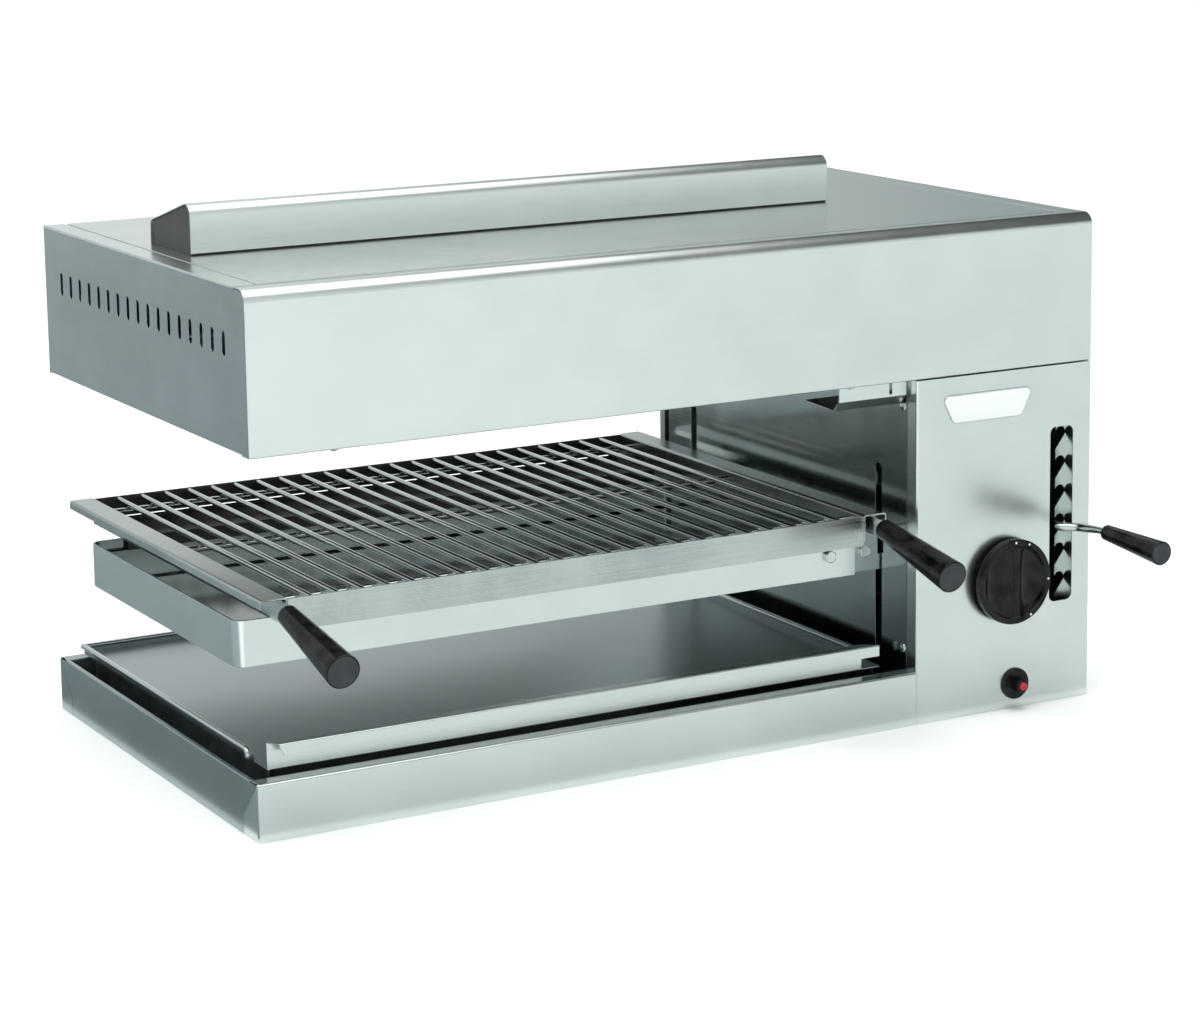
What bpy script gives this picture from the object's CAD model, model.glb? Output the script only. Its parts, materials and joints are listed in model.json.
"""Looks of the counter-top gas grill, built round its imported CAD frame.

Shapes are worked out in millimetres in the row frame: +X to the right, +Y to the back, +Z up, the front plane at
y = -225 and the surface it stands on at z = 0. They turn to metres when a piece is made.
"""
import json
import math

import bmesh
import bpy
import numpy as np
from mathutils import Matrix, Vector
from mathutils.geometry import delaunay_2d_cdt

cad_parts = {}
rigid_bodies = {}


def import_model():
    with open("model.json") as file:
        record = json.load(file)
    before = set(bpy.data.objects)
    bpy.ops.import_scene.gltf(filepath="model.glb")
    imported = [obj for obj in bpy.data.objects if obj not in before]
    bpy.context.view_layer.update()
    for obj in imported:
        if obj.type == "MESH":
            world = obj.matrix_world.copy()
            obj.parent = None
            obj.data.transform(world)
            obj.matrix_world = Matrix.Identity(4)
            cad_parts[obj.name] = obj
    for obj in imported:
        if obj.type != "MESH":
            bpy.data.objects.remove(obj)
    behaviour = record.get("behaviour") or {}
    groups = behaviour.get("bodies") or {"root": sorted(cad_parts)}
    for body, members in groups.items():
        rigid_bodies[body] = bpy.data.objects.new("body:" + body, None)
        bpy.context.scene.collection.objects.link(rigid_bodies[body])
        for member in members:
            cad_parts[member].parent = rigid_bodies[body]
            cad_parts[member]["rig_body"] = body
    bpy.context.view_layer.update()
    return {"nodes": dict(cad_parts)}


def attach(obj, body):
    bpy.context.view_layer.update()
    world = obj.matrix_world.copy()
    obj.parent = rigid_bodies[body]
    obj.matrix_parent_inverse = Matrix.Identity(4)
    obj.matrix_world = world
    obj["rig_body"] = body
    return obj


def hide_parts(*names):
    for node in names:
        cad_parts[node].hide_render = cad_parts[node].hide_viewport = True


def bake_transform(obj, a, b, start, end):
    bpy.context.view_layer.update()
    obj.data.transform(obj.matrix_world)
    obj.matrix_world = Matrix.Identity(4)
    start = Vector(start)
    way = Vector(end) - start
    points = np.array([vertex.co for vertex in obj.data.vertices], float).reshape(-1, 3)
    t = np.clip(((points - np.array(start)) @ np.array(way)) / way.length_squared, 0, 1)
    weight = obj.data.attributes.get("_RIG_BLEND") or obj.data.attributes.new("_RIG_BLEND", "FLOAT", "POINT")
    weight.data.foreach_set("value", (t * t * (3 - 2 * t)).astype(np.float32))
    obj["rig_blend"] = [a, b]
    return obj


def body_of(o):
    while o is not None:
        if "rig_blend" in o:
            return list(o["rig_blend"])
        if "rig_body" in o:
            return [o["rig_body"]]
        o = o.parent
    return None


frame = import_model()

HALF = 400.0        # half the hood's width
WALL = 215.0        # outer face of the column's inner wall
TOP = 436.0         # top of the hood
HOOD = 305.0        # lower edge of the hood
COLUMN = 304.2      # top of the column's panel
BASE = 47.4         # top of the base
BASE_X = -402.6     # left face of the base
SHEET = 1.2         # casing sheet
FRONT, BACK = -225.0, 225.0     # outer planes of the casing
TOP_PANEL = 381.2   # half the width between the hood's two top borders
FLUE_LEFT, FLUE_RIGHT = -364.0, 250.0
FLUE_FRONT, FLUE_BACK = -30.0, 60.0
KNOB_X, KNOB_Z = 312.0, 117.5
KNOB_FACE = -237.1  # front of the knob's rim
BUTTON_X, BUTTON_Z = 320.0, 22.3
BUTTON_FACE = -238.0
PIPE_X, PIPE_Z, PIPE_END = 312.0, 62.0, 208.0
FRAME_LEFT, FRAME_RIGHT = -394.0, 187.0         # the carriage's frame bar
FRAME_FRONT, FRAME_BACK = -171.0, 157.0
FRAME_LOW, FRAME_HIGH = 127.0, 165.0
BOLT_Z = 147.0
PAN_BACK, PAN_RIM = 150.0, 155.5
SHELF_Z, SHELF_BACK = 165.3, 218.0
RODS_LEFT, RODS_RIGHT = -365.0, 172.0           # between the grate's rails
GRATE_FRONT, GRATE_BACK = -208.0, 222.0
GRATE_FOOT, GRATE_TOP = 165.3, 189.0
LONG_RODS = 23
TRAY_LEFT, TRAY_RIGHT, TRAY_BACK = -383.6, 193.6, 212.6
TRAY_FLOOR, TRAY_RIM = 51.2, 57.0
SLOTS, SLOT_FRONT, SLOT_BACK = 17, 44.1, 41.1   # cooling slots: how many, and how far in the first and last are


def behind(d):
    """The Y of a place d behind the front plane."""
    return d - 225.0


# ---- Curves in a plane ----

def unit(v):
    """Each vector divided by its length."""
    return v / np.maximum(np.linalg.norm(v, axis=-1, keepdims=True), 1e-12)


def left_of(d):
    """Each flat direction turned a quarter turn to the left."""
    return np.stack([-d[..., 1], d[..., 0]], -1)


def rounded(points, radii, closed=False, step=9):
    """A polyline whose corners are arcs. An arc's centre lies on its corner's bisector, at radius over the sine of half
    the corner's angle, and the arc turns by what is left of a half turn."""
    p = np.asarray(points, float)
    r = np.broadcast_to(np.asarray(radii, float), (len(p),))
    out = []
    for i in range(len(p)):
        if r[i] <= 0 or (not closed and i in (0, len(p) - 1)):
            out.append(p[i:i + 1])
            continue
        back, ahead = unit(p[i - 1] - p[i]), unit(p[(i + 1) % len(p)] - p[i])
        half = math.acos(max(-1, min(1, float(back @ ahead)))) / 2
        middle = p[i] + unit(back + ahead) * r[i] / math.sin(half)
        start = p[i] + back * r[i] / math.tan(half) - middle
        side = math.copysign(1, back[1] * ahead[0] - back[0] * ahead[1])
        turn = math.pi - 2 * half
        stretches = max(2, math.ceil(math.degrees(turn) / step))
        a = math.atan2(start[1], start[0]) + side * np.linspace(0, turn, stretches + 1)
        out.append(middle + r[i] * np.stack([np.cos(a), np.sin(a)], -1))
    out = np.vstack(out)
    gap = np.linalg.norm(out - np.roll(out, 1, 0), axis=1) > 1e-4
    gap[0] |= not closed
    return out[gap]


def oblong(x0, x1, y0, y1, r, hole=False):
    """A rectangle with round corners, anticlockwise, or clockwise for a hole."""
    loop = rounded([(x0, y0), (x1, y0), (x1, y1), (x0, y1)], r, True, 15)
    return loop[::-1] if hole else loop


def ring(x, y, r, hole=False, sides=32):
    """A circle, anticlockwise, or clockwise for a hole."""
    a = np.arange(sides) * 2 * np.pi / sides
    loop = np.stack([x + r * np.cos(a), y + r * np.sin(a)], -1)
    return loop[::-1] if hole else loop


def inset(loop, depth):
    """A closed loop moved to its left by depth, each corner along its mitre."""
    ahead = unit(np.roll(loop, -1, 0) - loop)
    come = np.roll(ahead, 1, 0)
    return loop + (left_of(ahead) + left_of(come)) * depth / (1 + (ahead * come).sum(-1, keepdims=True))


def mitres(path):
    """At each point of an open path, the step that moves both its stretches one to the left."""
    ahead = unit(np.diff(path, axis=0))
    come, go = np.vstack([ahead[:1], ahead]), np.vstack([ahead, ahead[-1:]])
    return (left_of(come) + left_of(go)) / (1 + (come * go).sum(-1, keepdims=True))


def lengths(path):
    """How far along an open path each point is."""
    return np.concatenate([[0], np.cumsum(np.linalg.norm(np.diff(path, axis=0), axis=1))])


def mirrored(path):
    """An open path in (x, z) mirrored in x and run backwards, so that its left is still its inside."""
    return (np.asarray(path, float) * [-1, 1])[::-1]


# ---- Surfaces: each gives (points, faces) ----

def joined(*shapes):
    """Several shapes as one, so that their shared edges close."""
    points, faces, base = [], [], 0
    for p, f in shapes:
        points.append(p)
        faces += [[i + base for i in face] for face in f]
        base += len(p)
    return np.vstack(points), faces


def skin(grid):
    """A grid of points as four-sided faces."""
    m, n = grid.shape[:2]
    at = np.arange(m * n).reshape(m, n)
    faces = np.stack([at[:-1, :-1], at[:-1, 1:], at[1:, 1:], at[1:, :-1]], -1).reshape(-1, 4)
    return grid.reshape(-1, 3), faces.tolist()


def flat(axis, at, into):
    """Puts a flat pattern square to an axis: its face at that height, its thickness towards `into`, 1 or -1."""
    def place(u, v, w):
        s = at + into * w
        return np.stack({"x": (s, u, v), "y": (u, s, v), "z": (u, v, s)}[axis], -1)
    return place


def odd_inside(points, loops):
    """Whether a ray from each point to the right crosses the loops an odd number of times."""
    odd = np.zeros(len(points), bool)
    x, y = points[:, :1], points[:, 1:]
    for a in loops:
        b = np.roll(a, -1, 0)
        rise = np.where(a[:, 1] == b[:, 1], 1, b[:, 1] - a[:, 1])
        hit = ((a[:, 1] > y) != (b[:, 1] > y)) & (x < a[:, 0] + (y - a[:, 1]) * (b[:, 0] - a[:, 0]) / rise)
        odd ^= hit.sum(1) % 2 == 1
    return odd


def slab(loops, thick, edge, place, cuts=()):
    """A sheet with holes. Its two faces are the loops moved in by `edge`, filled with triangles; each edge between them
    is a quarter circle, a wall and a quarter circle: depth = edge (1 - sin a), height = edge (1 - cos a)."""
    a = np.radians([0, 45, 90])
    quarter = list(zip(edge * (1 - np.sin(a)), edge * (1 - np.cos(a)))) if edge else [(0, 0)]
    rings = quarter + [(d, thick - w) for d, w in quarter[::-1]]
    shapes = []
    for loop in loops:
        closed = np.vstack([loop, loop[:1]])
        rows = []
        for d, w in rings:
            moved = inset(loop, d) if d else loop
            moved = np.vstack([moved, moved[:1]])
            rows.append(place(moved[:, 0], moved[:, 1], np.full(len(closed), w)))
        shapes.append(skin(np.stack(rows)))
    face = [inset(loop, edge) if edge else loop for loop in loops]
    flat_points = np.vstack(face)
    starts = np.cumsum([0] + [len(f) for f in face])
    edges = [(int(s + i), int(s + (i + 1) % len(f))) for s, f in zip(starts, face) for i in range(len(f))]
    found, _, faces, *_ = delaunay_2d_cdt([Vector(p) for p in flat_points], edges + list(cuts), [], 1, 1e-5)
    found = np.array([tuple(p) for p in found])
    tri = np.array([f for f in faces if len(f) == 3])
    tri = tri[odd_inside(found[tri].mean(1), face)]
    for w in (0, thick):
        shapes.append((place(found[:, 0], found[:, 1], np.full(len(found), float(w))), tri.tolist()))
    return joined(*shapes)


def folded(axis, path, low, high, thick, edge=0.35, holes=()):
    """A bent sheet. `path` is its outer face seen along `axis`, with the thickness on the left, and the sheet runs from
    low to high along the axis, given once or for each path point. Its flat pattern has the length along the path as u
    and the place along the axis as v; a point at depth w lies w mitre steps to the left of the path."""
    path = np.asarray(path, float)
    far = lengths(path)
    low, high = np.broadcast_to(low, far.shape), np.broadcast_to(high, far.shape)
    outline = np.vstack([np.stack([far, low], -1), np.stack([far, high], -1)[::-1]])
    step, n = mitres(path), len(far)

    def place(u, v, w):
        s, t = [np.interp(u, far, path[:, k]) + w * np.interp(u, far, step[:, k]) for k in (0, 1)]
        return np.stack({"x": (v, s, t), "y": (s, v, t), "z": (s, t, v)}[axis], -1)

    cuts = [(k, 2 * n - 1 - k) for k in range(1, n - 1)]
    return slab([outline, *holes], thick, edge, place, cuts)


def turned(profile, foot, axis, sides=48):
    """A profile of (distance along the axis, radius) swung once round the axis from its foot."""
    s, r = np.asarray(profile, float).T
    axis = unit(np.asarray(axis, float))
    side = unit(np.cross(axis, (0, 0, 1) if abs(axis[2]) < 0.9 else (1, 0, 0)))
    a = np.linspace(0, 2 * np.pi, sides + 1)[:, None]
    round_axis = np.cos(a) * side + np.sin(a) * np.cross(axis, side)
    return skin(np.asarray(foot, float) + s[:, None, None] * axis + r[:, None, None] * round_axis)


def bar(start, end, r, edge=0.5, sides=24):
    """A round bar whose two ends have rounded rims."""
    start, end = np.asarray(start, float), np.asarray(end, float)
    length = np.linalg.norm(end - start)
    return turned(rounded([(0, 0), (0, r), (length, r), (length, 0)], [0, edge, edge, 0], step=30),
        start, end - start, sides)


def tube(path, radii, up, sides=20, edge=0.5):
    """A round tube along a path: at each point a circle in the plane of `up` and the path's own sideways direction.
    The ends close on their middles."""
    path = np.asarray(path, float)
    ahead = unit(np.gradient(path, axis=0))
    path = np.vstack([path[:1], path[:1], path, path[-1:], path[-1:]])
    ahead = np.vstack([ahead[:1], ahead[:1], ahead, ahead[-1:], ahead[-1:]])
    r = np.broadcast_to(np.asarray(radii, float), (len(path) - 4,))
    path[2:3] += ahead[2] * edge
    path[-3:-2] -= ahead[-1] * edge
    r = np.concatenate([[0, r[0] - edge], r, [r[-1] - edge, 0]])
    side = unit(np.cross(ahead, up))
    over = np.cross(side, ahead)
    a = np.linspace(0, 2 * np.pi, sides + 1)[:, None]
    return skin(path[:, None] + r[:, None, None] * (np.cos(a) * side[:, None] + np.sin(a) * over[:, None]))


def moved(shape, x=0, y=0, z=0):
    """A shape carried by that many millimetres."""
    return shape[0] + [x, y, z], shape[1]


# ---- Pieces ----

def finish_edges(o, sharp):
    """Smooth shading that stays sharp over an angle, with the large faces ruling the normals."""
    o.data.shade_smooth()
    o.data.set_sharp_from_angle(angle=math.radians(sharp))
    normals = o.modifiers.new("normals", "WEIGHTED_NORMAL")
    normals.keep_sharp = True


def piece(name, shapes, finishes, body, *stands_for, slot=None, sharp=40, wall=0, soften=0):
    """One object from shapes in millimetres, each (points, faces) or (points, faces, number of its finish). Each
    shape's doubles are merged and its faces turned outwards before it joins the rest. `wall` thickens an open skin.
    `body` is the CAD body it rides on, or (body, body, start, end) for a piece that stretches between two."""
    whole = bmesh.new()
    for points, faces, *number in shapes:
        mesh = bpy.data.meshes.new("shape")
        mesh.from_pydata((points / 1000).tolist(), [], faces)
        work = bmesh.new()
        work.from_mesh(mesh)
        bmesh.ops.remove_doubles(work, verts=work.verts, dist=2e-6)
        bmesh.ops.recalc_face_normals(work, faces=work.faces)
        for f in work.faces:
            f.material_index = number[0] if number else 0
        work.to_mesh(mesh)
        work.free()
        whole.from_mesh(mesh)
        bpy.data.meshes.remove(mesh)
    mesh = bpy.data.meshes.new(name)
    whole.to_mesh(mesh)
    whole.free()
    o = bpy.data.objects.new(name, mesh)
    bpy.context.scene.collection.objects.link(o)
    finishes = finishes if isinstance(finishes, (list, tuple)) else [finishes]
    for m in finishes:
        mesh.materials.append(m)
    if wall:
        shell = o.modifiers.new("wall", "SOLIDIFY")
        shell.thickness, shell.offset, shell.use_even_offset = wall / 1000, -1, True
    if soften:
        bevel = o.modifiers.new("edges", "BEVEL")
        bevel.width, bevel.segments, bevel.limit_method = soften / 1000, 2, "ANGLE"
        bevel.angle_limit = math.radians(50)
    finish_edges(o, sharp)
    if isinstance(body, str):
        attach(o, body)
    else:
        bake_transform(o, *body)
    if stands_for:
        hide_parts(*stands_for)
    slot or finishes[0].name
    return o


def refined(node, finish, edge=0.35, slot=None, segments=2):
    """The CAD node's own shape with its edges broken: a copy is merged, its flat faces made whole again, and every
    corner sharper than 35 degrees gets a round of that many millimetres."""
    source = frame["nodes"][node]
    work = bmesh.new()
    work.from_mesh(source.data)
    bmesh.ops.remove_doubles(work, verts=work.verts, dist=1e-6)
    bmesh.ops.dissolve_limit(work, angle_limit=math.radians(1), verts=work.verts, edges=work.edges)
    mesh = bpy.data.meshes.new(node + "_finished")
    work.to_mesh(mesh)
    work.free()
    o = bpy.data.objects.new(node + "_finished", mesh)
    bpy.context.scene.collection.objects.link(o)
    mesh.materials.clear()
    mesh.materials.append(finish)
    bevel = o.modifiers.new("edges", "BEVEL")
    bevel.width, bevel.segments, bevel.limit_method = edge / 1000, segments, "ANGLE"
    bevel.angle_limit = math.radians(35)
    finish_edges(o, 40)
    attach(o, body_of(source)[0])
    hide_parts(node)
    slot or finish.name
    return o


# ---- Finishes ----

def linear(code):
    """An sRGB hex value as linear red, green, blue and 1."""
    c = np.array([int(code[i:i + 2], 16) / 255 for i in (1, 3, 5)])
    return (*np.where(c <= 0.04045, c / 12.92, ((c + 0.055) / 1.055) ** 2.4).tolist(), 1.0)


def add(tree, kind, settings=None, **links):
    """One node: its settings by attribute, its sockets by name (_ for a space), each a value or another node's output.
    A name that ends in a digit is the socket's number."""
    n = tree.nodes.new(kind)
    for k, v in (settings or {}).items():
        setattr(n, k, v)
    for k, v in links.items():
        target = n.inputs[int(k[1:])] if k[1:].isdigit() else n.inputs[k.replace("_", " ")]
        if isinstance(v, bpy.types.NodeSocket):
            tree.links.new(v, target)
        else:
            target.default_value = v
    return n


def ramp(tree, fac, stops):
    """A colour ramp from (place, colour) stops."""
    n = add(tree, "ShaderNodeValToRGB", Fac=fac)
    for i, (at, colour) in enumerate(stops):
        e = n.color_ramp.elements[i] if i < 2 else n.color_ramp.elements.new(at)
        e.position, e.color = at, colour if isinstance(colour, tuple) else (colour, colour, colour, 1)
    return n.outputs["Color"]


def new_finish(name):
    """An empty material with its output and surface shader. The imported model's own of that name steps aside."""
    if name in bpy.data.materials:
        bpy.data.materials[name].name = name + "_cad"
    m = bpy.data.materials.new(name)
    m.use_nodes = True
    m.node_tree.nodes.clear()
    tree = m.node_tree
    surface = add(tree, "ShaderNodeBsdfPrincipled")
    add(tree, "ShaderNodeOutputMaterial", Surface=surface.outputs["BSDF"])
    return m, tree, surface


def mix(tree, fac, a, b, kind="MIX"):
    """Two colours or numbers mixed."""
    n = add(tree, "ShaderNodeMix", {"data_type": "RGBA", "blend_type": kind}, _0=fac, _6=a, _7=b)
    return n.outputs[2]


def metal(name, light, dark, rough, spread, grain, bump, blotch=60, coarse=1.0):
    """A metal sheet or bar. `grain` is how far apart its marks are along X, Y and Z, in mm: long along the rubbing and
    fine across it. The marks carry the roughness up and down by `spread`, tip the surface by `bump`, and mix the two
    tones; blotches of `blotch` mm are the faint clouds of handling."""
    m, tree, surface = new_finish(name)
    where = add(tree, "ShaderNodeTexCoord").outputs["Object"]
    stretched = add(tree, "ShaderNodeMapping", Vector=where, Scale=[1000 / g for g in grain]).outputs["Vector"]
    marks = add(tree, "ShaderNodeTexNoise", Vector=stretched, Scale=1.0, Detail=3.0, Roughness=0.6).outputs["Fac"]
    clouds = add(tree, "ShaderNodeTexNoise", Vector=where, Scale=1000 / blotch, Detail=4.0, Roughness=0.55)
    clouds = clouds.outputs["Fac"]
    tone = mix(tree, 0.65, marks, clouds)
    surface.inputs["Metallic"].default_value = 1.0
    tree.links.new(ramp(tree, tone, [(0.3, linear(dark)), (0.7, linear(light))]), surface.inputs["Base Color"])
    uneven = add(tree, "ShaderNodeMapRange", Value=tone, _1=0.3, _2=0.7, _3=rough - spread, _4=rough + spread)
    tree.links.new(uneven.outputs["Result"], surface.inputs["Roughness"])
    if bump:
        tree.links.new(add(tree, "ShaderNodeBump", Height=marks, Strength=bump, Distance=0.0001 * coarse)
            .outputs["Normal"], surface.inputs["Normal"])
    return m


# AISI 304 sheet, No. 4 finish: belt-ground and brushed along X. Light, softly blurred reflections that streak across
# the grain. The real grit lines are about 0.05 mm apart; they are drawn 0.8 mm apart so that they show.
brushed_stainless = metal("brushed_stainless", "#DEE3E2", "#D0D8D7", 0.25, 0.025, (160, 0.8, 0.8), 0.05)
# AISI 304 sheet, 2B mill finish: cold rolled, pickled and skin passed. Greyer and more matt than the front, with faint
# rolling lines along Y, drawn 1.2 mm apart.
casing_stainless = metal("casing_stainless", "#B4BCBE", "#A3ADB0", 0.33, 0.03, (1.2, 140, 1.2), 0.08)
# AISI 304 sheet, bright annealed: near mirror, with light wiping marks about 1.5 mm apart from cleaning.
mirror_stainless = metal("mirror_stainless", "#BAC2C1", "#A6AFAF", 0.13, 0.035, (1.5, 150, 1.5), 0.03)
# Cold-drawn stainless rod, polished: thin bright highlights, drawn lines along the bar.
bright_rod = metal("bright_rod", "#DADFDD", "#C3C9C7", 0.17, 0.04, (2.0, 90, 2.0), 0.03)
# The grate's sheet: belt-ground along X like the front, a little tinted by heat, with more marked streaks.
grate_stainless = metal("grate_stainless", "#CDD3D2", "#9DA5A5", 0.28, 0.05, (110, 1.3, 1.3), 0.08, 90)
# AISI 430 sheet after years of heat: straw to blue-brown clouds 40 mm across, dull and dark.
heated_steel = metal("heated_steel", "#6E6A66", "#4A4B4F", 0.42, 0.06, (1.4, 120, 1.4), 0.08, 40)
# Zinc-plated mild steel: bluish grey with the fine spangle of bright plating.
zinc_steel = metal("zinc_steel", "#B9BFC1", "#8E979B", 0.34, 0.08, (3, 3, 3), 0.12, 18)
# Drawn and machined brass: yellow, with turned marks about 0.6 mm apart.
brass = metal("brass", "#C9AE6B", "#A88B4A", 0.28, 0.06, (0.6, 9, 0.6), 0.08, 25)
# Bent copper pipe: warm, dulled by handling and heat.
copper = metal("copper", "#B98058", "#8E5B3E", 0.32, 0.08, (5, 5, 5), 0.06, 22)


def moulded(name, code, rough, ior, texture_mm, bump, spread=0.04, tone=0.35, coat=0.0, gloss=0.5):
    """A moulded or glazed surface: one colour with slight clouding, fine orange peel of `texture_mm` in its bump and
    its roughness."""
    m, tree, surface = new_finish(name)
    where = add(tree, "ShaderNodeTexCoord").outputs["Object"]
    peel = add(tree, "ShaderNodeTexNoise", Vector=where, Scale=1000 / texture_mm, Detail=2.0).outputs["Fac"]
    clouds = add(tree, "ShaderNodeTexNoise", Vector=where, Scale=60.0, Detail=3.0).outputs["Fac"]
    base = linear(code)
    lighter = tuple(c + (1 - c) * 0.02 + c * tone * 0.3 for c in base[:3]) + (1.0,)
    tree.links.new(ramp(tree, clouds, [(0.35, base), (0.75, lighter)]), surface.inputs["Base Color"])
    uneven = add(tree, "ShaderNodeMapRange", Value=clouds, _1=0.3, _2=0.7, _3=rough - spread, _4=rough + spread)
    tree.links.new(uneven.outputs["Result"], surface.inputs["Roughness"])
    surface.inputs["IOR"].default_value = ior
    surface.inputs["Specular IOR Level"].default_value = gloss
    if coat:
        surface.inputs["Coat Weight"].default_value = coat
    tree.links.new(add(tree, "ShaderNodeBump", Height=peel, Strength=bump, Distance=0.00005).outputs["Normal"],
        surface.inputs["Normal"])
    return m


# Phenolic resin, compression moulded and polished: deep black gloss with long highlights.
phenolic = moulded("phenolic", "#030405", 0.14, 1.6, 2.5, 0.06, 0.02, tone=0.1, gloss=0.15)
# The grips' free ends are turned off flat after moulding: dark grey and matt.
machined_phenolic = moulded("machined_phenolic", "#24292D", 0.55, 1.6, 0.8, 0.5, 0.05, gloss=0.3)
# White lacquered metal badge blank: glossy, slightly domed.
white_badge = moulded("white_badge", "#EEF1EF", 0.22, 1.5, 6.0, 0.05, tone=0.0)
# Unfilled printing white for raised dots on the knob.
dot_white = moulded("dot_white", "#E9ECEA", 0.4, 1.5, 1.0, 0.1, tone=0.0)
# Glazed electrical porcelain: warm white, glossy.
porcelain = moulded("porcelain", "#E9E4DA", 0.15, 1.55, 4.0, 0.05, tone=0.0, coat=0.4)
# Silicone-rubber sleeve of the ignition lead: dull red-brown to black.
lead_sleeve = moulded("lead_sleeve", "#1B1C1E", 0.55, 1.45, 1.2, 0.3)
# Translucent red polycarbonate button tip, moulded and smooth.
red_tip = moulded("red_tip", "#B01426", 0.2, 1.58, 2.0, 0.05, tone=0.3)


def tile_finish():
    """Burner tile: cordierite pressed and fired, with a dark oxide coat, matt, with rows of fine flame holes. The real
    holes are 1.3 mm wide and about 2.6 mm apart; they are drawn 4 mm apart so that they show."""
    m, tree, surface = new_finish("burner_ceramic")
    where = add(tree, "ShaderNodeTexCoord").outputs["Object"]
    cells = add(tree, "ShaderNodeTexVoronoi", {"voronoi_dimensions": "2D"}, Vector=where, Scale=250.0,
        Randomness=0.0).outputs["Distance"]
    clouds = add(tree, "ShaderNodeTexNoise", Vector=where, Scale=45.0, Detail=4.0).outputs["Fac"]
    body = ramp(tree, clouds, [(0.35, linear("#45413E")), (0.7, linear("#57524D"))])
    holes = ramp(tree, cells, [(0.26, 0.0), (0.34, 1.0)])
    tree.links.new(mix(tree, holes, linear("#15110E"), body), surface.inputs["Base Color"])
    surface.inputs["Roughness"].default_value = 0.85
    tree.links.new(add(tree, "ShaderNodeBump", Height=holes, Strength=0.6, Distance=0.0006).outputs["Normal"],
        surface.inputs["Normal"])
    return m


burner_ceramic = tile_finish()

# ---- Hood ----

under = TOP - SHEET
front_profile = rounded([(-193, under), (-202, under), (-203.2, TOP), (FRONT, TOP), (FRONT, HOOD), (-210, HOOD)],
    [0, 0, 0, 11, 1.6, 0])
front_reach = np.where(front_profile[:, 0] > -203, TOP_PANEL, HALF)
side_profile = rounded([(HALF, 433.66), (HALF, TOP), (TOP_PANEL, TOP), (TOP_PANEL - SHEET, under), (371, under)],
    [0, 1.3, 0, 0, 0])
piece("hood_sheet", [folded("x", front_profile, -front_reach, front_reach, SHEET, 0.3),
    *(folded("y", p, -203.15, BACK, SHEET, 0.3) for p in (side_profile, mirrored(side_profile)))],
    brushed_stainless, "frame", "hood_shell")


def end_plate():
    """A hood end's outline in (y, z), whose top front corner follows the inside of the hood's bend, and its row of
    cooling slots."""
    outline = rounded([(-222.9, 306.25), (223.7, 306.25), (223.7, 433.6), (-204, 433.6), (-205.1, 434.4),
        (-222.9, 434.4)], [0, 0, 0, 0, 0, 9.5], True)
    y = np.linspace(behind(SLOT_FRONT), BACK - SLOT_BACK, SLOTS)
    return [outline] + [oblong(c - 3.4, c + 3.4, 379.2, 398.8, 3.39, True) for c in y]


for name, at, into in (("hood_left_end", -HALF, 1), ("hood_right_end", HALF, -1)):
    piece(name + "_plate", [slab(end_plate(), SHEET, 0.35, flat("x", at, into))], casing_stainless, "frame", name)

piece("hood_back_sheet", [slab([oblong(-HALF + 0.1, HALF - 0.1, HOOD, under - 0.1, 0.6)], SHEET, 0.35,
    flat("y", BACK, -1))], casing_stainless, "frame", "hood_back")
piece("top_sheet", [slab([oblong(-378.6, 378.6, behind(24.5), BACK - 0.1, 1.5),
    oblong(-352, 238, -20, 48, 3, True)], SHEET, 0.3, flat("z", TOP, -1))], brushed_stainless, "frame", "top_panel")

# Flue: up from its back foot, over the crest and down to the front, whose edge stops 1.6 mm above the hood
shoulder, crest = (FLUE_BACK, 456.2), (FLUE_FRONT, 481.1)
flue_profile = rounded([(FLUE_BACK, TOP), shoulder, crest, (FLUE_FRONT, TOP + 1.6)], [0, 6, 10, 0])
outlet_xs = FLUE_LEFT + 61.4 * (np.arange(10) + 0.5)
outlets = [oblong(4, 12, x - 22.7, x + 22.7, 1.5, True) for x in outlet_xs]
piece("flue_sheet", [folded("x", flue_profile, FLUE_LEFT, FLUE_RIGHT, 1, 0.25, outlets)], brushed_stainless, "frame",
    "flue_cover")
cap = inset(rounded([(FLUE_FRONT, TOP), (FLUE_BACK, TOP), shoulder, crest], [0, 0, 6, 10], True), 1.15)
cap[cap[:, 1] < TOP + 1.3, 1] = TOP
piece("flue_ends", [slab([cap], 1, 0.25, flat("x", x, 1)) for x in (FLUE_LEFT + 2, FLUE_RIGHT - 3)], heated_steel,
    "frame", "flue_end_caps", slot="casing_stainless")
gasket = oblong(FLUE_LEFT + 1, FLUE_RIGHT - 1, TOP + 0.05, TOP + 1.9, 0.3)
piece("flue_gasket", [slab([gasket], 2, 0.3, flat("y", FLUE_FRONT + 1, 1))], lead_sleeve, "frame")

dome = rounded([(0, 4.2), (1.2, 4.2), (3.1, 0)], [0, 1.0, 0], step=12)
piece("hood_dome_bolts", [turned([(0, 0)] + [tuple(p) for p in dome], (x, behind(8), HOOD), (0, 0, -1))
    for x in (-HALF + 74, WALL - 63)], bright_rod, "frame", "hood_bolts", slot="bright_rod")

# ---- Column ----

panel_path = rounded([(WALL, behind(14.4)), (WALL, FRONT), (HALF, FRONT)], [0, 2.5, 0])
panel_far = lengths(panel_path)


def panel_hole(loop):
    """A hole given in (x, z) on the panel's face, in the panel's flat pattern."""
    return np.stack([np.interp(loop[:, 0], panel_path[:, 0], panel_far), loop[:, 1]], -1)


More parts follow.
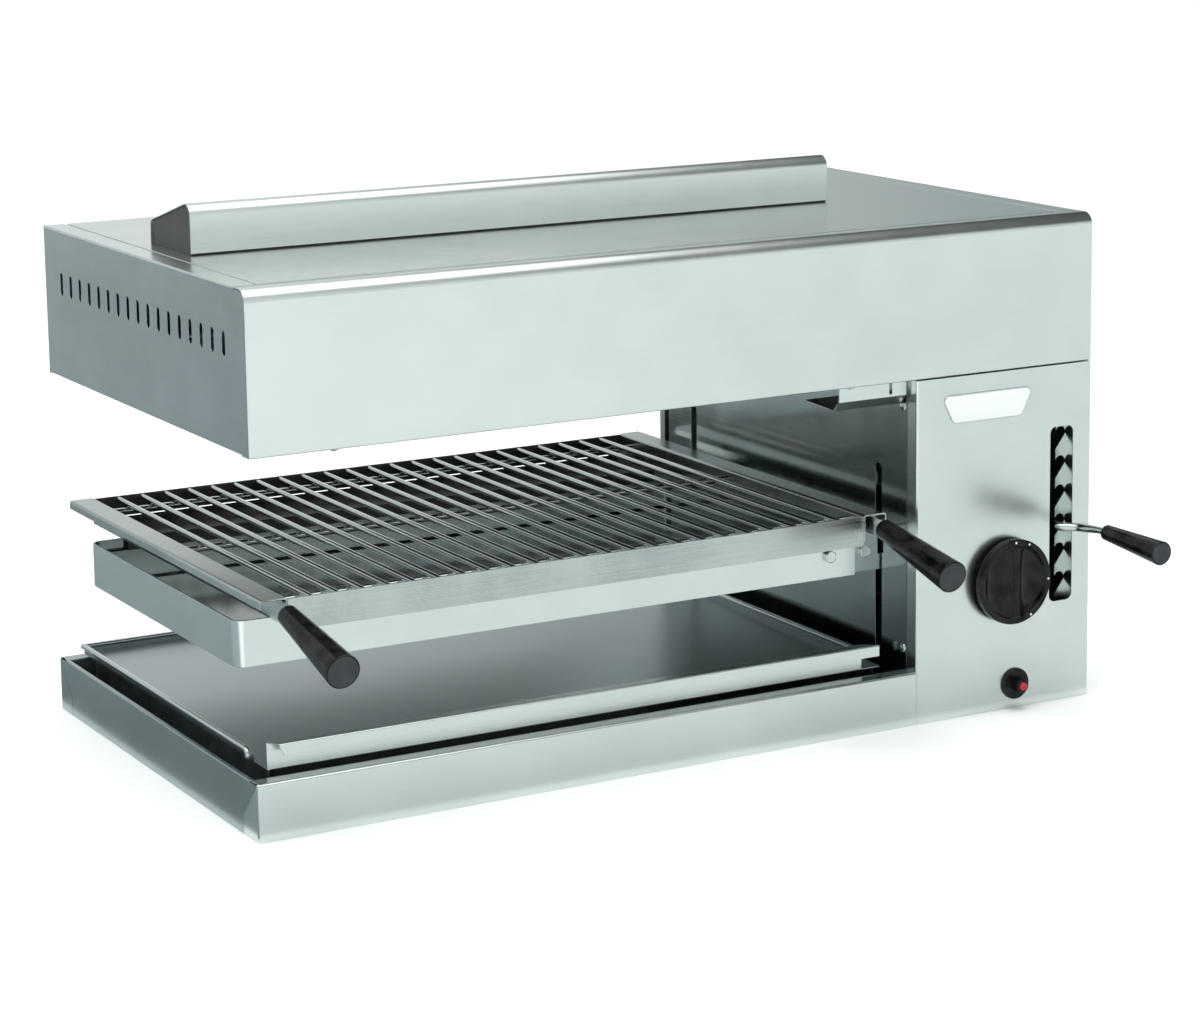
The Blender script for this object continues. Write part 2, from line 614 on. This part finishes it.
panel_holes = [oblong(356.9, 381.5, 91, 249, 6, True), ring(KNOB_X, KNOB_Z, 6, True),
    ring(BUTTON_X, BUTTON_Z, 11.05, True)]
piece("panel_sheet", [folded("z", panel_path, 0.1, COLUMN, SHEET, 0.3, [panel_hole(h) for h in panel_holes])],
    brushed_stainless, "frame", "control_panel")


def badge():
    """The bare badge plate: a trapezium with round corners about (289, 275.5). Rings run up its side, over a thin rim
    and into a shallow groove, then shrink to the middle as a dome whose height falls with the square of the ring's
    share of the outline."""
    loop = rounded([(-47.5, 13), (-35, -13), (35, -13), (47.5, 13)], [5.5, 7, 7, 5.5], True, 12)
    loop = loop * [46 / np.abs(loop[:, 0]).max(), 1]
    rows = [(inset(loop, d), w) for d, w in ((0, 0), (0, 0.42), (0.12, 0.56), (0.35, 0.62), (1.0, 0.62), (1.25, 0.5),
        (1.6, 0.6))]
    dome_edge = rows[-1][0]
    shrink = np.linspace(1, 0, 9)[1:]
    rows += [(dome_edge * s, 0.6 + 0.38 * (1 - s * s)) for s in shrink]
    grid = np.stack([np.stack([289 + r[:, 0], np.full(len(r), FRONT - w), 275.5 + r[:, 1]], -1) for r, w in rows])
    grid = np.concatenate([grid, grid[:, :1]], 1)
    return (*skin(grid[:6]), 1), (*skin(grid[5:]), 0)


piece("badge_blank", badge(), [white_badge, bright_rod], "frame", "badge_plate", slot="white_badge", sharp=60)
slots = [oblong(behind(d) - 5, behind(d) + 5, 55.2, 223.2, 4.99, True) for d in (59, 377)]
piece("wall_sheet", [slab([oblong(behind(15.45), behind(425), SHEET, COLUMN, 0.5), *slots], SHEET, 0.35,
    flat("x", WALL, 1))], mirror_stainless, "frame", "column_inner_wall")


def slotted_screw(x, y, z, r, high, axis, slot_turn=0):
    """A slotted round-head screw: a turned dome, cut across by two half discs with a 1 mm gap between them."""
    axis = np.asarray(axis, float)
    grid = []
    h = np.linspace(0, 1, 8)
    profile = np.stack([high * np.sin(h * np.pi / 2), r * np.cos(h * np.pi / 2)], -1)
    for s in (-1, 1):
        a = np.linspace(-np.pi / 2, np.pi / 2, 17) if s > 0 else np.linspace(np.pi / 2, 3 * np.pi / 2, 17)
        flat_x = np.where(s * np.cos(a) * profile[:, 1:2] < 0.5, s * 0.5, np.cos(a) * profile[:, 1:2])
        flat_y = np.sin(a) * np.maximum(profile[:, 1:2], 0.05)
        c, q = math.cos(slot_turn), math.sin(slot_turn)
        u, v = c * flat_x - q * flat_y, q * flat_x + c * flat_y
        w = np.broadcast_to(profile[:, :1], u.shape)
        side = np.array([0, 1, 0]) if abs(axis[0]) > 0.5 else np.array([1, 0, 0])
        up = np.cross(axis, side)
        points = np.array([x, y, z]) + w[..., None] * axis + u[..., None] * side + v[..., None] * up
        points = np.concatenate([points, points[:, :1]], 1)
        grid.append(skin(points))
    base = turned([(0, 0), (0, r), (high * 0.45, r * 0.92), (high * 0.45, 0)], (x, y, z), axis, 32)
    return [joined(*grid), base]


piece("wall_slotted_screws", [s for k, (d, z) in enumerate([(20.9, 65), (20.9, 279.2), (417, 65), (417, 279.2)])
    for s in slotted_screw(WALL, behind(d), z, 4.2, 2.2, (-1, 0, 0), 0.5 + k)], bright_rod, "frame", "wall_screws",
    slot="bright_rod")
refined("column_right_side", casing_stainless, 0.35)
refined("column_back", casing_stainless, 0.35)
refined("column_top_plate", zinc_steel, 0.2, slot="casing_stainless")
refined("comb_plate", brushed_stainless, 0.25)

# ---- Base ----

def wrapped_panel():
    """The base's front panel, an open skin. Its long part is a profile carried along X: a lip, the ledge, the top bend
    and the face. Its corner is the same face carried round a quarter circle of 2.5 mm, with an eighth of a sphere on
    top, and its tab on the left side ends on a slope."""
    r = 2.5
    cx, cy, cz = BASE_X + r, FRONT + r, BASE - r
    profile = rounded([(-209, BASE - 10), (-209, BASE), (FRONT, BASE), (FRONT, 0)], [0, 1.5, r, 0])
    start = np.where((profile[:, 0] > cy + 0.01) & (profile[:, 1] > 20), BASE_X + 1.4, cx)
    face = skin(np.stack([np.stack([np.full(len(profile), WALL) if t else start, profile[:, 0], profile[:, 1]], -1)
        for t in (0, 1)]))
    turn = np.linspace(0, np.pi / 2, 11)
    plan = np.stack([cx - r * np.cos(turn), cy - r * np.sin(turn)], -1)
    corner = skin(np.stack([np.column_stack([plan, np.full(11, z)]) for z in (0, cz)]))
    tilt = np.linspace(0, np.pi / 2, 11)[:, None]
    dome_grid = np.stack([cx - r * np.cos(tilt) * np.cos(turn), cy - r * np.cos(tilt) * np.sin(turn),
        np.broadcast_to(cz + r * np.sin(tilt), (11, 11))], -1)
    tab = skin(np.array([[(BASE_X, -196, 0), (BASE_X, cy, 0)], [(BASE_X, -196, 17), (BASE_X, cy, cz)]], float))
    return joined(face, corner, skin(dome_grid), tab)


front_skin = wrapped_panel()
back_skin = (front_skin[0] * [1, -1, 1], front_skin[1])
piece("base_front_sheet", [front_skin], brushed_stainless, "frame", "base_front", wall=SHEET, soften=0.25)
piece("base_back_sheet", [back_skin], casing_stainless, "frame", "base_back", wall=SHEET, soften=0.25)


def base_side():
    """The base's left side: a flange on top and a face whose two ends slope to match the corner tabs, 0.5 mm clear."""
    profile = rounded([(BASE_X + 4, BASE), (BASE_X, BASE), (BASE_X, 17), (BASE_X, 0.1)], [0, 1.35, 0, 0])
    extra = np.array([[BASE_X, 45.9], [BASE_X, 45.0]])
    k = np.flatnonzero(profile[:, 1] <= 17.01)[0]
    profile = np.vstack([profile[:k], extra, profile[k:]])
    z = profile[:, 1]
    slope = -195.5 - np.clip((z - 17) / (44.9 - 17), 0, 1) * 26.5
    start = np.where(z > 45.95, -208.6, slope)
    return folded("y", profile, start, -start, SHEET, 0.3)


piece("base_left_sheet", [base_side()], casing_stainless, "frame", "base_left_side")
refined("base_floor", casing_stainless, 0.2)
refined("tray_runners", zinc_steel, 0.2, slot="casing_stainless")

# ---- Burners, gas and ignition ----

refined("burner_housings", heated_steel, 0.5, slot="casing_stainless")
refined("ceramic_tiles", burner_ceramic, 0.6)
refined("burner_rails", zinc_steel, 0.3)
refined("mixing_tubes", zinc_steel, 0.3)
refined("injectors", brass, 0.4)
refined("gas_manifold", copper, 0.2)
refined("gas_tap", brass, 0.8)
refined("tap_plug", brass, 0.2)
refined("thermocouple", copper, 0.1)
refined("igniter_electrode", porcelain, 0.2)
refined("igniter_lead", lead_sleeve, 0.1)


def threaded_pipe():
    """The supply pipe: its bend and its threaded end. The thread is a tube whose radius swings between root and crest
    with a triangle wave of (length over pitch less the turn), 14 threads to the inch."""
    x, z, foot, rise = PIPE_X, PIPE_Z, PIPE_END, behind(58)
    bend = rounded([(foot - 3, z), (rise, z), (rise, 102.5)], [0, 16, 0], step=7.5)
    run = tube(np.column_stack([np.full(len(bend), x), bend]), 8, (1, 0, 0), 32)
    s = np.linspace(0, 31, 31 * 8 + 1)[:, None]
    a = np.linspace(0, 2 * np.pi, 49)
    phase = (s / 1.814 - a / (2 * np.pi)) % 1
    r = 10.4775 - 1.1 * (1 - np.abs(2 * phase - 1)) * np.clip((31 - s) / 1.5, 0.3, 1)
    r = np.where(s > 30.4, r - (s - 30.4) * 1.2, r)
    wall = np.stack([x + r * np.cos(a), foot + np.broadcast_to(s, r.shape), z + r * np.sin(a)], -1)
    bore = [(31, 9.2), (31, 8.2), (30, 7.6), (12, 7.6), (12, 0)]
    inner = turned(bore, (x, foot, z), (0, 1, 0), 48)
    hexagon = slab([ring(x, z, 16, sides=6)], 12, 0.8, flat("y", behind(425), 1))
    return [run, skin(wall), inner, hexagon]


piece("gas_supply_pipe", threaded_pipe(), brass, "frame", "gas_inlet_pipe")
guard_path = rounded([(behind(12.5), HOOD), (behind(12.5), 291), (behind(21.5), 282), (behind(68), 284)],
    [0, 1.4, 1.4, 0])
piece("igniter_guard_sheet", [folded("x", guard_path, WALL - 71, 212.5, 1, 0.25,
    [oblong(2, 12, 195, 198, 0.8, True)])], brushed_stainless, "frame", "igniter_guard")
flange = rounded([(20, 6.05), (-3, 6.05), (-3, 14), (0, 14), (0, 11), (1.2, 11)], [0, 0.8, 1.4, 0.3, 0, 0])
flange = [(22, 0)] + [(22, 6.05)] + [tuple(p) for p in flange[1:]]
lock_nut = [ring(BUTTON_X, BUTTON_Z, 15, sides=6), ring(BUTTON_X, BUTTON_Z, 11.01, True)]
piece("piezo_body", [
    turned(flange + [(45.5, 11), (46, 10.5), (46, 0)], (BUTTON_X, FRONT, BUTTON_Z), (0, 1, 0), 64),
    slab(lock_nut, 5, 0.5, flat("y", behind(SHEET), 1))], phenolic, "frame", "piezo_igniter")
button = rounded([(26, 0), (26, 6), (0, 6), (0, 4.2), (0.5, 3.8)], [0, 0.3, 0.8, 0.3, 0])
red = rounded([(0.5, 3.8), (-1.45, 3.8), (-1.45, 0)], [0, 1.0, 0])
button_face = (BUTTON_X, BUTTON_FACE, BUTTON_Z)
piece("piezo_button", [turned([tuple(p) for p in button] + [(0.5, 0)], button_face, (0, 1, 0), 48),
    (*turned([(0.5, 0)] + [tuple(p) for p in red], button_face, (0, 1, 0), 48), 1)], [phenolic, red_tip],
    "button", "igniter_button")

# ---- Knob ----

def knob_face():
    """The knob from the front, as a height over polar rings. Inside the 33 mm rim each side of the grip ridge is a
    scoop, a hollow whose depth falls off as the square of the place across it; the ridge is narrowest in the middle
    and flares to its ends; the rim, the ridge's top and the scoops meet over short smooth steps."""
    a = np.linspace(0, 2 * np.pi, 241)
    r = np.concatenate([np.linspace(0, 31, 50), np.linspace(31.4, 34, 10), np.linspace(34.6, 36.6, 4)])[:, None]
    u, v = r * np.cos(a), r * np.sin(a)
    half_ridge = 3.4 + 1.6 * (v / 33) ** 2
    across = np.clip((np.abs(u) - half_ridge) / (33 - half_ridge), 0, 1)
    depth = 5 * (1 - (2 * across - 1) ** 2) ** 0.8
    fade = lambda t: np.clip(t, 0, 1) ** 2 * (3 - 2 * np.clip(t, 0, 1))
    depth = depth * fade((33.2 - r) / 2.4)
    up = 1.9 * fade((half_ridge + 0.3 - np.abs(u)) / 1.4) * fade((32.6 - r) / 2.0)
    face = np.stack([KNOB_X + u, KNOB_FACE + depth - up, KNOB_Z + v], -1)
    t = np.radians([0, 22, 45, 68, 90])[:, None]
    wide = 36.6 + 1.35 * np.sin(t)
    rim = np.stack([KNOB_X + wide * np.cos(a), np.broadcast_to(KNOB_FACE + 1.35 * (1 - np.cos(t)), (5, 241)),
        KNOB_Z + wide * np.sin(a)], -1)
    back = [(37.95, -230.4), (37.4, -229.85), (34, -229.8), (34, -231.5), (7, -231.5), (7, -229.8), (4.1, -229.8),
        (4.1, -232), (0, -232)]
    rows = [np.stack([KNOB_X + rr * np.cos(a), np.full(241, yy), KNOB_Z + rr * np.sin(a)], -1) for rr, yy in back]
    return skin(np.concatenate([face, rim[1:], np.stack(rows)]))


def knob_dots():
    """Four white dots on the knob's rim, shallow domes."""
    shapes = []
    for turn in (0, 24, 92, 152):
        a = math.radians(90 - turn)
        foot = (KNOB_X + 35.2 * math.cos(a), KNOB_FACE + 0.1, KNOB_Z + 35.2 * math.sin(a))
        shapes.append(turned([(0, 0), (0, 1.05), (0.22, 0.9), (0.3, 0)], foot, (0, -1, 0), 20))
    return shapes


piece("knob_moulding", [knob_face()] + [(*d, 1) for d in knob_dots()], [phenolic, dot_white], "knob", "control_knob")
refined("knob_spindle", zinc_steel, 0.4)
piece("knob_pointer", [turned([(0, 0), (0, 1.5), (0.12, 1.35), (0.14, 0)], (318.9, FRONT, 160.3), (0, -1, 0), 24)],
    dot_white, "frame", slot="white_badge")

# ---- Guides, hidden in the column ----

refined("guide_rods", bright_rod, 0.5)
refined("rod_brackets", zinc_steel, 0.6)
refined("slider_plate", zinc_steel, 0.5)
refined("guide_blocks", zinc_steel, 0.6)
refined("guide_bushes", brass, 0.3)
refined("lever_bracket", zinc_steel, 0.4)
refined("lever_pin", bright_rod, 0.4)


SPRING_X = WALL + 33.4
SPRING_FOOT = 127.0     # top of the slider plate's lug
SPRING_PITCH = 5.0


def spring(y, low, high, r, wire):
    """A tension spring: a helix whose tube's circle lies in the plane of its own radius and Z. Its turns are wide
    enough apart at rest to close up when the carriage is at its highest."""
    turns = (high - low - 2 * wire) / SPRING_PITCH
    t = np.linspace(0, 2 * np.pi * turns, int(turns * 20))
    out = np.stack([np.cos(t), np.sin(t), np.zeros_like(t)], -1)
    rise = low + wire + SPRING_PITCH * t / (2 * np.pi)
    centre = np.stack([np.full_like(t, SPRING_X), np.full_like(t, y), rise], -1)
    a = np.linspace(0, 2 * np.pi, 9)[:, None]
    grid = (centre + out * (r - wire))[:, None] + wire * (np.cos(a) * out[:, None] + np.sin(a) * np.array([0, 0, 1.0]))
    grid = np.concatenate([np.broadcast_to(grid[:1].mean(1, keepdims=True), grid[:1].shape), grid,
        np.broadcast_to(grid[-1:].mean(1, keepdims=True), grid[-1:].shape)])
    return skin(grid)


foot, head = [(SPRING_X / 1000, behind(260) / 1000, z / 1000) for z in (SPRING_FOOT, COLUMN - SHEET)]
piece("balance_coils", [spring(behind(d), SPRING_FOOT + 0.05, COLUMN - SHEET, 8, 0.8) for d in (240, 280)], bright_rod,
    ("carriage", "frame", foot, head), "balance_springs")

# ---- Carriage ----

frame_path = rounded([(FRAME_RIGHT, FRAME_BACK), (FRAME_LEFT, FRAME_BACK), (FRAME_LEFT, FRAME_FRONT),
    (FRAME_RIGHT, FRAME_FRONT)], [0, 10, 10, 0])
lip_out = frame_path + mitres(frame_path)
lip_in = rounded([(FRAME_RIGHT, FRAME_BACK - 14), (FRAME_LEFT + 14, FRAME_BACK - 14),
    (FRAME_LEFT + 14, FRAME_FRONT + 14), (FRAME_RIGHT, FRAME_FRONT + 14)], [0, 2, 2, 0])
piece("carriage_frame_bar", [folded("z", frame_path, FRAME_LOW, FRAME_HIGH, 2, 0.5),
    slab([np.vstack([lip_out, lip_in[::-1]])], 1.5, 0.3, flat("z", FRAME_LOW, 1))], brushed_stainless, "carriage",
    "carriage_frame")


def pan():
    """The drip pan: a rectangle with round corners, carried up its outside, over a rounded rim and down its inside,
    each ring inset and set below the rim from a list, with flat faces closing its floor above and below."""
    rings = [(3.2, 27), (1.4, 26.75), (0.4, 25.9), (0, 24.3), (0, 0.7), (0.18, 0.2), (0.5, 0), (0.82, 0.2), (1, 0.7),
        (1, 23.5), (1.4, 25.1), (2.4, 25.9), (4.2, 26)]
    loop = oblong(-389, 184, -164, PAN_BACK, 6)
    rows = []
    for d, below in rings:
        row = inset(loop, d)
        rows.append(np.column_stack([np.vstack([row, row[:1]]), np.full(len(row) + 1, PAN_RIM - below)]))
    n = len(loop)
    floors = [(rows[0][:-1], [list(range(n))]), (rows[-1][:-1], [list(range(n))])]
    return joined(skin(np.stack(rows)), *floors)


# The pan's rear shelf passes over the frame's back bar and ends in an upstand
shelf = rounded([(PAN_BACK, PAN_RIM - 0.7), (PAN_BACK, SHELF_Z), (SHELF_BACK, SHELF_Z), (SHELF_BACK, SHELF_Z + 4.3)],
    [0, 0.6, 1.4, 0])
piece("drip_pan_sheet", [pan(), (*folded("x", shelf, RODS_LEFT + 3, RODS_RIGHT - 3, 1, 0.25), 1)],
    [mirror_stainless, heated_steel], "carriage", "drip_pan", slot="casing_stainless")
refined("carriage_arms", casing_stainless, 0.5)


def hex_bolt(x, y, z, way):
    """A hex bolt: a washer face, six flats whose corners a cone takes off, and a slightly hollow top."""
    t = np.linspace(0, 2 * np.pi, 73)
    flats = 5.0 / np.cos((t % (np.pi / 3)) - np.pi / 6)
    rows = []
    for s, r_cone, share in ((0, 5.6, 0), (0.35, 5.6, 0), (0.36, 9, 1), (3.2, 9, 1), (3.65, 5.3, 1), (4, 4.6, 1),
            (3.85, 4.0, 0), (3.8, 0, 0)):
        r = np.minimum(flats, r_cone) if share else np.full_like(t, r_cone)
        rows.append(np.stack([x + r * np.sin(t), np.full_like(t, y + way * s), z + r * np.cos(t)], -1))
    rows.insert(0, np.stack([np.full_like(t, x), np.full_like(t, y), np.full_like(t, z)], -1))
    return skin(np.stack(rows))


bolts = []
for x, set_in in ((160, 0), (197, 2)):
    for face, way in ((FRAME_FRONT + set_in, -1), (FRAME_BACK - set_in, 1)):
        shank = bar((x, face, BOLT_Z), (x, face - way * (6 - set_in), BOLT_Z), 3, 0.4)
        bolts += [hex_bolt(x, face, BOLT_Z, way), shank]
piece("carriage_hex_bolts", bolts, bright_rod, "carriage", "carriage_bolts")

# ---- Lever ----

def lever_path(d):
    """The lever rod's middle d behind the front: it eases 12.5 mm to the right and 3.3 mm up just outside the slot,
    by 3 u squared less 2 u cubed."""
    ease = lambda t: np.clip(t, 0, 1) ** 2 * (3 - 2 * np.clip(t, 0, 1))
    return np.stack([364.9 + 12.5 * ease(-d / 18), d - 225, 159.2 + 3.3 * ease((-8 - d) / 44)], -1)


d = np.linspace(12, -54, 45)
thin = 3.75 - 0.65 * np.clip((-d - 26) / 20, 0, 1)
piece("lever_rod_bent", [tube(lever_path(d), thin, (0, 0, 1), 24)], bright_rod, "lever", "lever_rod")
refined("lever_hub", bright_rod, 0.5)


def grip(foot, axis, length, thin_r, thick_r, bore):
    """A moulded grip: a cone rounded at its thin end, with a narrow step near its thick end, and a flat end face that
    is a second finish."""
    slope = lambda s: thin_r + (thick_r - thin_r) * s / length
    side = rounded([(0, bore), (0, thin_r), (length - 4.6, slope(length - 4.6)), (length - 4.4, slope(length) - 0.35),
        (length, thick_r), (length, thick_r - 1.2)], [0, 1.6, 0, 0, 0.9, 0])
    body = [(min(8, length / 4), 0), (min(8, length / 4), bore)] + [tuple(p) for p in side]
    face = [(length, thick_r - 1.2), (length - 0.15, thick_r - 1.35), (length - 0.12, thick_r * 0.5),
        (length - 0.18, 0)]
    return turned(body, foot, axis, 64), (*turned(face, foot, axis, 64), 1)


def tilted(degrees):
    """Forwards and down by that many degrees."""
    t = math.radians(degrees)
    return np.array([0, -math.cos(t), -math.sin(t)])


lever_end = lever_path(np.array(-54.0)) - [0, 0.2, 0]
piece("lever_grip_moulding", grip(lever_end, tilted(2.8), 77, 6.8, 10.6, 3.1), [phenolic, machined_phenolic], "lever",
    "lever_grip")

# ---- Grate ----

left_rail = rounded([(RODS_LEFT, GRATE_FOOT), (RODS_LEFT, GRATE_TOP), (RODS_LEFT - 23, GRATE_TOP),
    (RODS_LEFT - 23, GRATE_TOP - 7.5)], [0, 2.4, 2.4, 0])
right_rail = rounded([(RODS_RIGHT + 23, GRATE_TOP - 7.5), (RODS_RIGHT + 23, GRATE_TOP), (RODS_RIGHT, GRATE_TOP),
    (RODS_RIGHT, GRATE_FOOT)], [0, 2.4, 2.4, 0])
piece("grate_side_rails", [folded("y", p, GRATE_FRONT, GRATE_BACK, 1.5, 0.4) for p in (left_rail, right_rail)],
    grate_stainless, "grate", "grate_rails", slot="brushed_stainless")
front_bar = slab([oblong(RODS_LEFT, RODS_RIGHT, 162, 188, 0.6)], 1.5, 0.45, flat("y", GRATE_FRONT, 1))
back_bar = slab([oblong(RODS_LEFT, RODS_RIGHT, 169.75, 188, 0.3)], 1.5, 0.2, flat("y", GRATE_BACK, -1))
piece("grate_front_and_back", [front_bar, (*back_bar, 1)], [grate_stainless, heated_steel], "grate", "grate_end_bars",
    slot="brushed_stainless")
rod = bar((0, GRATE_FRONT + 1.4, 185.2), (0, GRATE_BACK - 1.4, 185.2), 2.5, 0.4, 20)
rod_xs = np.linspace(RODS_LEFT, RODS_RIGHT, LONG_RODS + 2)[1:-1]
piece("grate_long_rods", [moved(rod, x) for x in rod_xs], bright_rod, "grate", "grate_rods")
piece("grate_cross_rods", [bar((RODS_LEFT, behind(d), 179.6), (RODS_RIGHT, behind(d), 179.6), 3, 0.5, 24)
    for d in (47, 248, 421)], bright_rod, "grate", "grate_cross_bars")
refined("grate_tangs", brushed_stainless, 0.5)
grip_xs = (RODS_LEFT - 8, RODS_RIGHT + 8)
piece("grate_grip_mouldings", [g for x in grip_xs for g in grip((x, -226, 180), tilted(12), 105, 8.68, 14, 2.05)],
    [phenolic, machined_phenolic], "grate", "grate_grips")

# ---- Crumb tray ----

def tray():
    """The crumb tray: a floor, low walls that carry a wire bead on three sides, whose front ends bend down, and a front
    wall with a folded lip cut slantwise at its left end."""
    low = TRAY_FLOOR - 1
    floor = slab([oblong(TRAY_LEFT, TRAY_RIGHT, behind(24), TRAY_BACK, 2)], SHEET, 0.35, flat("z", TRAY_FLOOR, -1))
    sides = [slab([oblong(behind(50), TRAY_BACK, low, TRAY_RIM, 0.6)], SHEET, 0.3, flat("x", x, way))
        for x, way in ((TRAY_LEFT, 1), (TRAY_RIGHT, -1))]
    back = slab([oblong(-383, 193, low, TRAY_RIM, 0.6)], SHEET, 0.3, flat("y", TRAY_BACK, -1))
    beads = []
    for x in (TRAY_LEFT, TRAY_RIGHT):
        path = rounded([(TRAY_BACK, TRAY_RIM), (behind(63), TRAY_RIM), (behind(63), low + 0.1)], [0, 5, 0], step=10)
        beads.append(tube(np.column_stack([np.full(len(path), x), path]), 2.4, (1, 0, 0), 20))
    beads.append(bar((TRAY_LEFT - 2.4, TRAY_BACK, TRAY_RIM), (TRAY_RIGHT + 2.4, TRAY_BACK, TRAY_RIM), 2.3, 0.8))
    lip = rounded([(-199.8, low), (-199.8, 73), (-211, 73), (-211, 63)], [0, 1.6, 1.6, 0])
    y, z = lip.T
    right = np.where(y > -201.5, 174, 186)
    left = TRAY_LEFT + np.clip((-200 - y) / 11, 0, 1) * 7 + np.where(y < -210.9, (71 - z) * 0.5, 0)
    front = folded("x", lip, left, right, SHEET, 0.3)
    return [(*shape, 1) for shape in (floor, *sides, back)] + [*beads, front]


piece("crumb_tray_sheet", tray(), [brushed_stainless, casing_stainless], "tray", "crumb_tray")

# ---- Floor, light and camera ----

def stage_sheet(name, corners, finish):
    """A flat sheet of the studio: the floor, or a card that keeps light off."""
    mesh = bpy.data.meshes.new(name)
    mesh.from_pydata(corners, [], [list(range(len(corners)))])
    mesh.materials.append(finish)
    o = bpy.data.objects.new(name, mesh)
    bpy.context.scene.collection.objects.link(o)
    return o


stage_sheet("floor", [(-18, -20, 0), (18, -20, 0), (18, 20, 0), (-18, 20, 0)],
    moulded("paper", "#F1F4F2", 0.9, 1.45, 40.0, 0.0, tone=0.0))


def card(name, corners, shade):
    """A sheet of coloured paper on the floor, seen only in the steel."""
    sheet = stage_sheet(name, [(x, y, 0.001) for x, y in corners], moulded(name + "_paper", shade, 0.9, 1.45, 20.0, 0.0,
        tone=0.0))
    sheet.visible_camera = sheet.visible_diffuse = sheet.visible_shadow = False


# Dark grey next to the left end and mid grey further out, for the end plates and the bar; near black in front of the
# inner wall's foot; light greys in front, deeper to the right, for the faces that look forwards
card("card_near", [(-0.75, -0.5), (-0.41, -0.24), (-0.41, 1.25), (-0.75, 1.25)], "#768183")
card("card_far", [(-4, -1.6), (-0.75, -0.5), (-0.75, 4), (-4, 4)], "#8C9598")
card("card_behind", [(-0.41, 0.25), (0.22, 0.25), (0.22, 1.25), (-0.41, 1.25)], "#24292B")
card("card_front", [(-0.6, -1.35), (2.2, -1.35), (1.4, -0.24), (-0.5, -0.24)], "#C6CBCA")
card("card_front_left", [(-0.8, -3), (0.75, -3), (0.75, -1.35), (-0.6, -1.35)], "#E2E7E6")
card("card_front_right", [(0.75, -3), (2.6, -3), (2.2, -1.35), (0.75, -1.35)], "#CED4D3")


def studio():
    """Light from all round, by direction only. Low down it falls from white on the left to grey on the right, less so
    in front; from a little above the horizon up it is white on the left and dark on the right, so that bends and rods
    that face right have dark lines."""
    world = bpy.data.worlds.new("studio")
    world.use_nodes = True
    tree = world.node_tree
    tree.nodes.clear()
    way = add(tree, "ShaderNodeSeparateXYZ", Vector=add(tree, "ShaderNodeTexCoord").outputs["Generated"])
    across = add(tree, "ShaderNodeMapRange", Value=way.outputs["X"], _1=-1.0, _2=1.0).outputs["Result"]
    low = ramp(tree, across, [(0.0, linear("#A9B2B3")), (0.45, linear("#D8DFDE")), (0.68, linear("#E9EEED")),
        (0.74, linear("#D4DBDA")), (0.79, linear("#A9B3B4")), (1.0, linear("#8B9698"))])
    high = ramp(tree, across, [(0.0, linear("#AEB6B7")), (0.55, linear("#D6DCDC")), (0.68, linear("#FBFDFC")),
        (0.72, linear("#C6CCCC")), (0.76, linear("#161B1C")), (1.0, linear("#15191B"))])
    front = add(tree, "ShaderNodeMapRange", Value=way.outputs["Y"], _1=-0.2, _2=-0.6, _3=0.0, _4=0.7).outputs["Result"]
    rise = add(tree, "ShaderNodeMapRange", Value=way.outputs["Z"], _1=0.24, _2=0.38, _3=0.0, _4=1.0).outputs["Result"]
    add(tree, "ShaderNodeOutputWorld", Surface=add(tree, "ShaderNodeBackground",
        Color=mix(tree, rise, mix(tree, front, low, linear("#F2F6F5")), high), Strength=1.0).outputs["Background"])
    bpy.context.scene.world = world


studio()


def lamp(name, at, to, width, height, power, colour="#FFFFFF"):
    """A rectangular soft box at one place, facing another."""
    light = bpy.data.lights.new(name, "AREA")
    light.shape, light.size, light.size_y, light.energy = "RECTANGLE", width, height, power
    light.color = linear(colour)[:3]
    o = bpy.data.objects.new(name, light)
    aim = (Vector(to) - Vector(at)).to_track_quat("-Z", "Y")
    o.matrix_world = Matrix.Translation(Vector(at)) @ aim.to_matrix().to_4x4()
    bpy.context.scene.collection.objects.link(o)


lamp("overhead", (-0.75, -0.5, 2.4), (-0.75, -0.5, 0), 3.7, 2.4, 42)
sun = bpy.data.lights.new("ceiling", "SUN")
sun.energy, sun.angle = 2.2, math.radians(40)
ceiling = bpy.data.objects.new("ceiling", sun)
bpy.context.scene.collection.objects.link(ceiling)
ceiling.visible_glossy = False

view = bpy.data.cameras.new("photo_view")
view.lens, view.sensor_width, view.shift_x, view.shift_y = 97.03, 36, -0.034, -0.120
camera = bpy.data.objects.new("photo_view", view)
camera.matrix_world = (Matrix.Translation((-1.3292, -2.4744, 0.8016)) @ Matrix.Rotation(math.radians(-29.51), 4, "Z")
    @ Matrix.Rotation(math.radians(90 - 9.984), 4, "X") @ Matrix.Rotation(math.radians(-0.694), 4, "Z"))
bpy.context.scene.collection.objects.link(camera)
bpy.context.scene.camera = camera
bpy.context.scene.view_settings.view_transform = "Standard"
